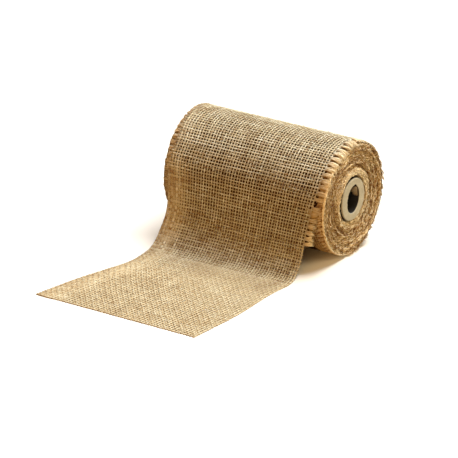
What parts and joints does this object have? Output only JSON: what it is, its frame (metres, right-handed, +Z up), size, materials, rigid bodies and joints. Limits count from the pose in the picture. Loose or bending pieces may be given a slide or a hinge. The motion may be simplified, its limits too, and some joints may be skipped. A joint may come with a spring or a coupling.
{
  "type": "ribbon spool",
  "caption": "Roll of open-weave burlap ribbon on a thick cardboard core, with the free end drawn off and laid on the table.",
  "frame": {"origin": "on the axis of the core's bore, at the middle of the roll's width", "axes": "+X along the core, +Z up from the table, and the ribbon's free end runs towards -Y"},
  "size_m": [0.1747, 0.2499, 0.096],
  "materials": {
    "core_board": "matte",
    "core_liner": "matte",
    "start_tape": "satin",
    "wound_burlap": "coarse fibre",
    "burlap": "plain open weave"
  },
  "bodies": {
    "paid_out_ribbon": {"outer_lap": "burlap", "ribbon_drop": "burlap"},
    "wound_roll": {"core_board": "core_board", "core_liner": "core_liner", "start_tape": "start_tape", "inner_turns": "wound_burlap", "middle_turns": "wound_burlap", "outer_turns": "wound_burlap", "under_lap": "burlap"},
    "ribbon_tail": {"ribbon_tail": "burlap"}
  },
  "joints": [
    {"name": "roll_spin", "type": "hinge", "parent": "paid_out_ribbon", "child": "wound_roll", "pos_m": [0, 0, 0], "axis": [1, 0, 0], "continuous": true},
    {"name": "tail_lift", "type": "hinge", "parent": "paid_out_ribbon", "child": "ribbon_tail", "pos_m": [0, -0.07847, -0.04755], "axis": [-1, 0, 0], "range_deg": [0, 80]}
  ]
}
